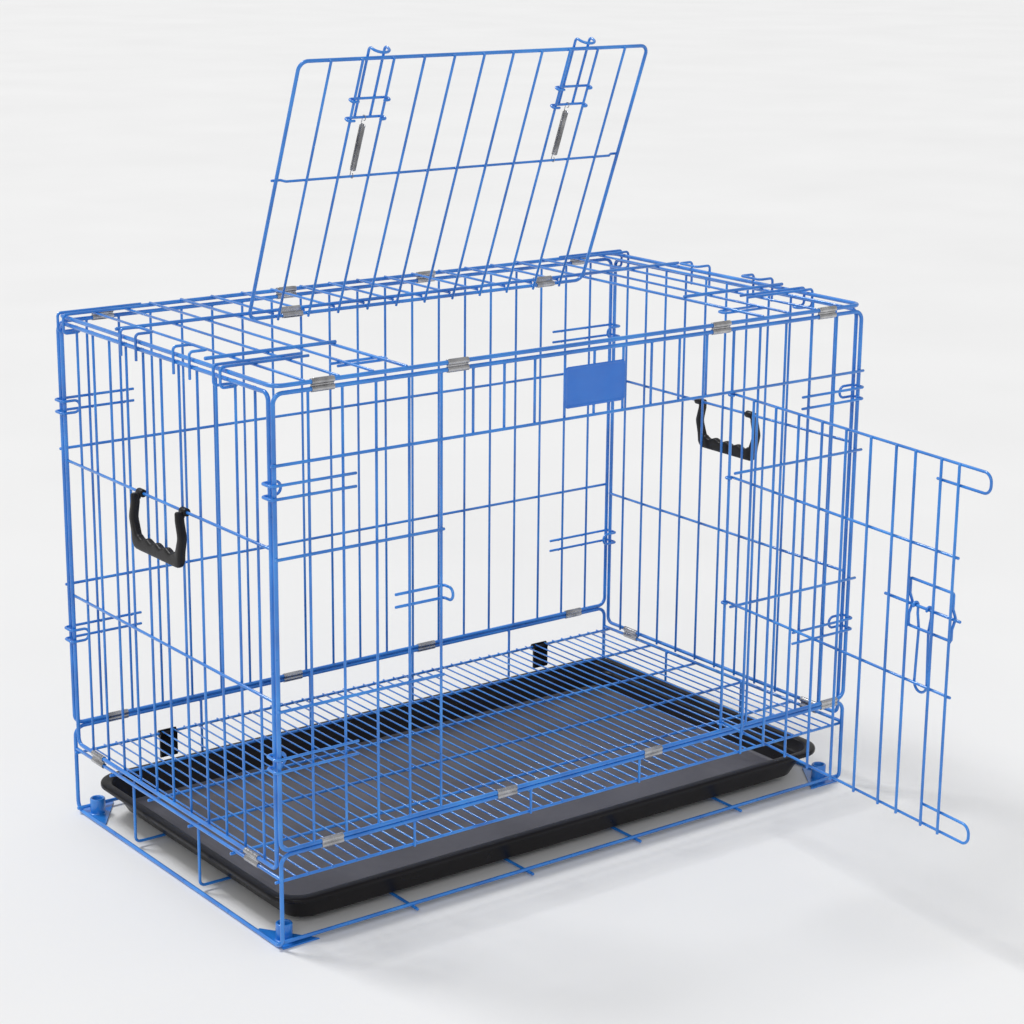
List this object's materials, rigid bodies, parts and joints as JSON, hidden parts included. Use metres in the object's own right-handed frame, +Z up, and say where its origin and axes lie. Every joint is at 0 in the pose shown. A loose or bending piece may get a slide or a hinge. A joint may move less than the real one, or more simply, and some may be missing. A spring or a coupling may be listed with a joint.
{
  "type": "wire dog crate",
  "caption": "Folding wire dog crate with a hinged front door, a top hatch, end walls that fold in, a slide-out tray and carry handles.",
  "frame": {"origin": "on the floor under the middle of the base, midway between the front and back frames and between the side frames", "axes": "+Z up, +Y towards the back wall, so the door faces -Y; +X along the length to the right as seen from the front"},
  "size_m": [0.7808, 0.8403, 0.8532],
  "materials": {
    "frame_paint": "glossy royal blue powder coat on drawn steel wire",
    "plate_paint": "blue paint on sheet steel",
    "clip_steel": "bright zinc plated sheet",
    "spring_steel": "bright spring wire",
    "tray_plastic": "vacuum formed black plastic with a fine grain",
    "catch_plastic": "moulded black plastic",
    "handle_plastic": "moulded black plastic"
  },
  "bodies": {
    "crate": {"base_frame": "frame_paint", "tray_wires": "frame_paint", "base_side_wires": "frame_paint", "floor_grid": "frame_paint", "corner_plates": "frame_paint", "tray_catches": "catch_plastic", "front_panel": "frame_paint", "door_catch": "frame_paint", "name_plate": "plate_paint", "back_panel": "frame_paint", "corner_hooks_front": "frame_paint", "corner_hooks_back": "frame_paint", "roof_panel": "frame_paint", "roof_hooks": "frame_paint", "hatch_stops": "frame_paint", "base_front_clips": "clip_steel", "base_back_clips": "clip_steel", "base_side_clips": "clip_steel", "roof_front_clips": "clip_steel", "roof_back_clips": "clip_steel", "hatch_clips": "clip_steel"},
    "tray": {"tray": "tray_plastic"},
    "left_side": {"left_side_panel": "frame_paint", "left_top_loops": "frame_paint"},
    "right_side": {"right_side_panel": "frame_paint", "right_top_loops": "frame_paint"},
    "left_grip": {"left_handle": "handle_plastic"},
    "right_grip": {"right_handle": "handle_plastic"},
    "hatch": {"hatch_panel": "frame_paint", "left_latch_spring": "spring_steel", "right_latch_spring": "spring_steel"},
    "left_latch": {"left_hatch_latch": "frame_paint"},
    "right_latch": {"right_hatch_latch": "frame_paint"},
    "door": {"door_panel": "frame_paint", "bolt_guide": "frame_paint"},
    "bolt": {"door_bolt": "frame_paint"},
    "bolt_grip": {"bolt_handle": "frame_paint"}
  },
  "joints": [
    {"name": "tray_slide", "type": "slide", "parent": "crate", "child": "tray", "axis": [0, -1, 0], "range_m": [0, 0.4]},
    {"name": "left_side_fold", "type": "hinge", "parent": "crate", "child": "left_side", "pos_m": [-0.38, 0, 0.083], "axis": [0, 1, 0], "range_deg": [0, 88.85], "deforming": ["left_top_loops"]},
    {"name": "right_side_fold", "type": "hinge", "parent": "crate", "child": "right_side", "pos_m": [0.38, 0, 0.083], "axis": [0, -1, 0], "range_deg": [0, 86], "deforming": ["right_top_loops"]},
    {"name": "left_handle_swing", "type": "hinge", "parent": "left_side", "child": "left_grip", "pos_m": [-0.3794, 0, 0.408], "axis": [0, -1, 0], "range_deg": [-110, 0]},
    {"name": "right_handle_swing", "type": "hinge", "parent": "right_side", "child": "right_grip", "pos_m": [0.3794, 0, 0.408], "axis": [0, 1, 0], "range_deg": [-110, 0]},
    {"name": "hatch_hinge", "type": "hinge", "parent": "crate", "child": "hatch", "pos_m": [0, 0.085, 0.5651], "axis": [-1, 0, 0], "range_deg": [-67, 30]},
    {"name": "left_latch_slide", "type": "slide", "parent": "hatch", "child": "left_latch", "axis": [0, -0.3697, 0.9291], "range_m": [0, 0.018], "stiffness_N_per_m": 200, "springref_m": -0.004, "deforming": ["left_latch_spring"]},
    {"name": "right_latch_slide", "type": "slide", "parent": "hatch", "child": "right_latch", "axis": [0, -0.3697, 0.9291], "range_m": [0, 0.018], "stiffness_N_per_m": 200, "springref_m": -0.004, "deforming": ["right_latch_spring"]},
    {"name": "door_hinge", "type": "hinge", "parent": "crate", "child": "door", "pos_m": [0.19, -0.219, 0.3], "axis": [0, 0, 1], "range_deg": [-84.8, 75]},
    {"name": "bolt_slide", "type": "slide", "parent": "door", "child": "bolt", "axis": [-0.0906, -0.9959, 0], "range_m": [0, 0.024]},
    {"name": "bolt_handle_swing", "type": "hinge", "parent": "bolt", "child": "bolt_grip", "pos_m": [0.16541, -0.53055, 0.334], "axis": [-0.0906, -0.9959, 0], "range_deg": [0, 100]}
  ]
}
